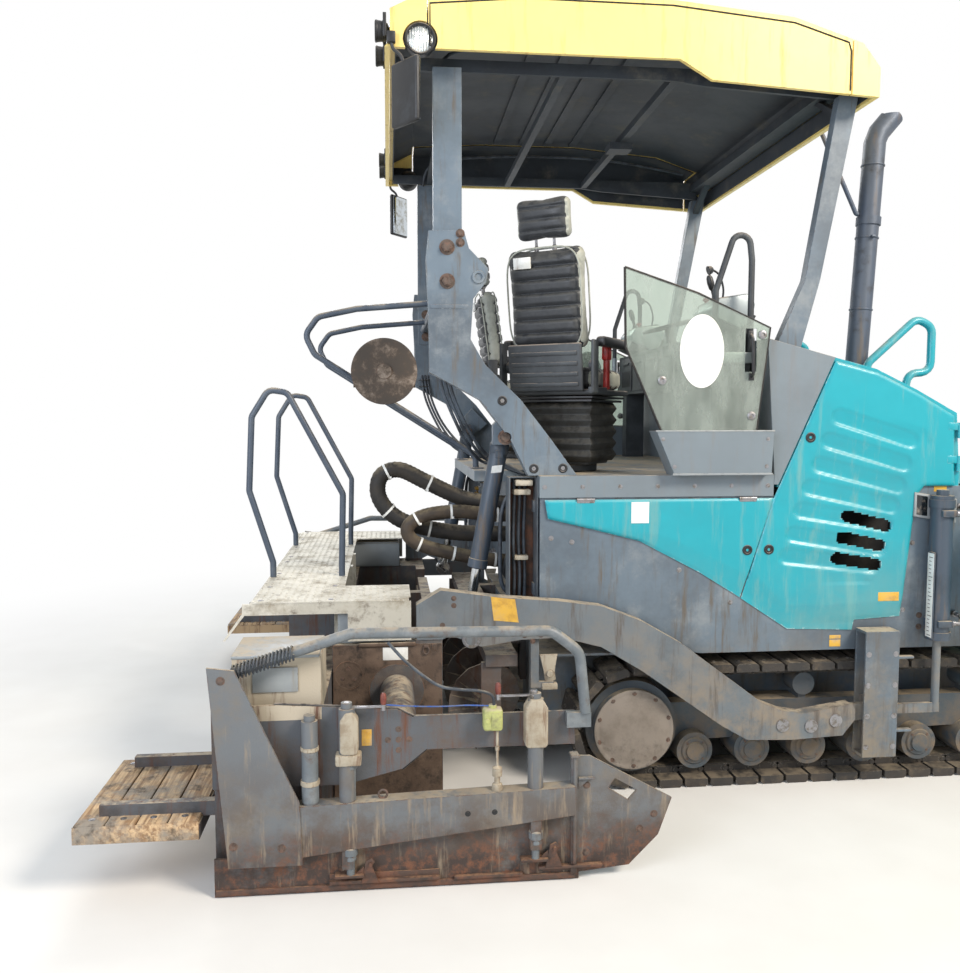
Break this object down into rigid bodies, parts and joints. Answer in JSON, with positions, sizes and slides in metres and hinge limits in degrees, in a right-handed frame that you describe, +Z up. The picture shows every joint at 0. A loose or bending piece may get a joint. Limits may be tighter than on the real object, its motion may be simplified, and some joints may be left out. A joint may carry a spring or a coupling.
{
  "type": "asphalt paver",
  "caption": "Tracked asphalt paver: hopper with folding wings, bar conveyors, cross augers, twin-seat platform under a roof, tow arms and a telescopic screed with side gates",
  "frame": {"origin": "centre of the bounding box in plan, on the ground under the tracks", "axes": "+X forward to the hopper, +Y to the machine's left, +Z up"},
  "size_m": [6.56, 4.132, 3.87],
  "materials": {
    "frame_paint": "worn blue-grey paint with dust",
    "track_steel": "dark greasy steel with mud",
    "shoe": "dusty shoe pads on a steel chain",
    "teal_paint": "glossy teal paint with dust",
    "cowl_grey": "mid grey paint",
    "engine_paint": "dark cast metal",
    "exhaust_steel": "heat-stained steel",
    "platform_grey": "grey paint with dusty tread",
    "console_dark": "dark textured plastic",
    "screen_glass": "clear safety glass",
    "reel_brown": "brown painted reel, rusty",
    "worn_steel": "polished worn steel bars",
    "cylinder_grey": "grey paint",
    "roof_yellow": "pale yellow paint",
    "roof_dark": "dark grey paint",
    "lamp_black": "black housings",
    "hose_rubber": "black rubber hose",
    "hose_dusty": "brown dusty rubber hose",
    "screed_steel": "asphalt-stained steel",
    "deck_plate": "pale tread plate",
    "chrome_rod": "chromed rod",
    "rail_grey": "grey tube",
    "gate_steel": "grey paint, rusty edges",
    "seat_grey": "dark grey seat shell and bellows",
    "seat_vinyl": "black channelled vinyl"
  },
  "bodies": {
    "tractor": {"chassis": "frame_paint", "track_frames": "track_steel", "tracks": "shoe", "hood": "teal_paint", "cowl": "cowl_grey", "engine": "engine_paint", "exhaust": "exhaust_steel", "platform": "platform_grey", "console": "console_dark", "side_screens": "screen_glass", "post_brackets": "frame_paint", "platform_rails": "frame_paint", "hose_reel": "reel_brown", "hopper": "teal_paint", "conveyor": "worn_steel", "levelling_cylinders": "cylinder_grey", "roof": "roof_yellow", "roof_frame": "roof_dark", "lamps": "lamp_black", "roof_posts": "frame_paint", "hose_black": "hose_rubber", "hose_brown": "hose_dusty"},
    "engine_door_right": {"engine_door_right": "teal_paint"},
    "engine_door_left": {"engine_door_left": "teal_paint"},
    "service_flap_right": {"service_flap_right": "teal_paint"},
    "service_flap_left": {"service_flap_left": "teal_paint"},
    "hopper_wing_right": {"hopper_wing_right": "teal_paint"},
    "hopper_wing_left": {"hopper_wing_left": "teal_paint"},
    "hopper_apron": {"hopper_apron": "teal_paint"},
    "push_beam": {"push_beam": "frame_paint"},
    "push_roller_right": {"push_roller_right": "worn_steel"},
    "push_roller_left": {"push_roller_left": "worn_steel"},
    "auger_frame": {"auger_frame": "screed_steel"},
    "auger_right": {"auger_right": "screed_steel"},
    "auger_left": {"auger_left": "screed_steel"},
    "tow_points": {"tow_points": "worn_steel"},
    "screed": {"tow_arms": "frame_paint", "screed_frame": "screed_steel", "screed_deck": "deck_plate", "screed_rails": "frame_paint"},
    "lift_barrels": {"lift_barrels": "cylinder_grey"},
    "lift_rods": {"lift_rods": "chrome_rod"},
    "screed_ext_right": {"screed_ext_right": "screed_steel", "gate_rail_right": "rail_grey"},
    "screed_ext_left": {"screed_ext_left": "screed_steel", "gate_rail_left": "rail_grey"},
    "side_gate_right": {"side_gate_right": "gate_steel"},
    "side_gate_left": {"side_gate_left": "gate_steel"},
    "roof_flap_right": {"roof_flap_right": "roof_yellow"},
    "roof_flap_left": {"roof_flap_left": "roof_yellow"},
    "seat_right": {"seat_right": "seat_grey", "seat_pan_right": "seat_vinyl", "seat_back_right": "seat_vinyl"},
    "seat_left": {"seat_left": "seat_grey", "seat_pan_left": "seat_vinyl", "seat_back_left": "seat_vinyl"}
  },
  "joints": [
    {"name": "engine_door_right_hinge", "type": "hinge", "parent": "tractor", "child": "engine_door_right", "pos_m": [0.862, -1.197, 1.7], "axis": [0, 0, 1], "range_deg": [0, 80]},
    {"name": "engine_door_left_hinge", "type": "hinge", "parent": "tractor", "child": "engine_door_left", "pos_m": [0.862, 1.197, 1.7], "axis": [0, 0, 1], "range_deg": [-80, 0]},
    {"name": "service_flap_right_hinge", "type": "hinge", "parent": "tractor", "child": "service_flap_right", "pos_m": [-0.7, -1.194, 1.491], "axis": [1, 0, 0], "range_deg": [-80, 0]},
    {"name": "service_flap_left_hinge", "type": "hinge", "parent": "tractor", "child": "service_flap_left", "pos_m": [-0.7, 1.194, 1.491], "axis": [1, 0, 0], "range_deg": [0, 80]},
    {"name": "hopper_wing_right_hinge", "type": "hinge", "parent": "tractor", "child": "hopper_wing_right", "pos_m": [1.9, -0.85, 0.7], "axis": [1, 0, 0], "range_deg": [-70, 0]},
    {"name": "hopper_wing_left_hinge", "type": "hinge", "parent": "tractor", "child": "hopper_wing_left", "pos_m": [1.9, 0.85, 0.7], "axis": [1, 0, 0], "range_deg": [0, 70]},
    {"name": "hopper_apron_hinge", "type": "hinge", "parent": "tractor", "child": "hopper_apron", "pos_m": [2.91, 0, 0.584], "axis": [0, 1, 0], "range_deg": [-55, 0]},
    {"name": "push_beam_pivot", "type": "hinge", "parent": "tractor", "child": "push_beam", "pos_m": [2.94, 0, 0.42], "axis": [0, 0, 1], "range_deg": [-4, 4]},
    {"name": "push_roller_right_spin", "type": "hinge", "parent": "push_beam", "child": "push_roller_right", "pos_m": [3.2, -0.4, 0.42], "axis": [0, 1, 0], "continuous": true},
    {"name": "push_roller_left_spin", "type": "hinge", "parent": "push_beam", "child": "push_roller_left", "pos_m": [3.2, 0.4, 0.42], "axis": [0, 1, 0], "continuous": true},
    {"name": "auger_height", "type": "slide", "parent": "tractor", "child": "auger_frame", "axis": [0, 0, 1], "range_m": [0, 0.135]},
    {"name": "auger_right_spin", "type": "hinge", "parent": "auger_frame", "child": "auger_right", "pos_m": [-1.56, -0.6, 0.42], "axis": [0, 1, 0], "continuous": true},
    {"name": "auger_left_spin", "type": "hinge", "parent": "auger_frame", "child": "auger_left", "pos_m": [-1.56, 0.6, 0.42], "axis": [0, 1, 0], "continuous": true},
    {"name": "tow_point_height", "type": "slide", "parent": "tractor", "child": "tow_points", "axis": [0, 0, 1], "range_m": [-0.1, 0.15]},
    {"name": "screed_lift", "type": "hinge", "parent": "tow_points", "child": "screed", "pos_m": [0.43, 0, 0.4], "axis": [0, 1, 0], "range_deg": [0, 7]},
    {"name": "lift_barrel_swing", "type": "hinge", "parent": "tractor", "child": "lift_barrels", "pos_m": [-1.474, 0, 1.798], "axis": [0, 1, 0], "range_deg": [-1.3, 0]},
    {"name": "lift_rod_stroke", "type": "slide", "parent": "lift_barrels", "child": "lift_rods", "axis": [0.1832, 0, 0.9831], "range_m": [0, 0.2593]},
    {"name": "screed_ext_right_slide", "type": "slide", "parent": "screed", "child": "screed_ext_right", "axis": [0, -1, 0], "range_m": [-0.69, 0.3]},
    {"name": "screed_ext_left_slide", "type": "slide", "parent": "screed", "child": "screed_ext_left", "axis": [0, 1, 0], "range_m": [-0.69, 0.3]},
    {"name": "side_gate_right_height", "type": "slide", "parent": "screed_ext_right", "child": "side_gate_right", "axis": [0, 0, 1], "range_m": [0, 0.1]},
    {"name": "side_gate_left_height", "type": "slide", "parent": "screed_ext_left", "child": "side_gate_left", "axis": [0, 0, 1], "range_m": [0, 0.1]},
    {"name": "roof_flap_right_hinge", "type": "hinge", "parent": "tractor", "child": "roof_flap_right", "pos_m": [-0.8, -0.983, 3.864], "axis": [1, 0, 0], "range_deg": [-85, 0]},
    {"name": "roof_flap_left_hinge", "type": "hinge", "parent": "tractor", "child": "roof_flap_left", "pos_m": [-0.8, 0.983, 3.864], "axis": [1, 0, 0], "range_deg": [0, 85]},
    {"name": "seat_right_swivel", "type": "hinge", "parent": "tractor", "child": "seat_right", "pos_m": [-1.08, -0.75, 1.65], "axis": [0, 0, 1], "range_deg": [-54, 36]},
    {"name": "seat_left_swivel", "type": "hinge", "parent": "tractor", "child": "seat_left", "pos_m": [-1.08, 0.75, 1.65], "axis": [0, 0, 1], "range_deg": [-90, 20]}
  ],
  "couplings": [
    {"joint": "lift_barrel_swing", "follows": "screed_lift", "ratio": -0.186},
    {"joint": "lift_rod_stroke", "follows": "screed_lift", "m_per_rad": 2.12}
  ]
}
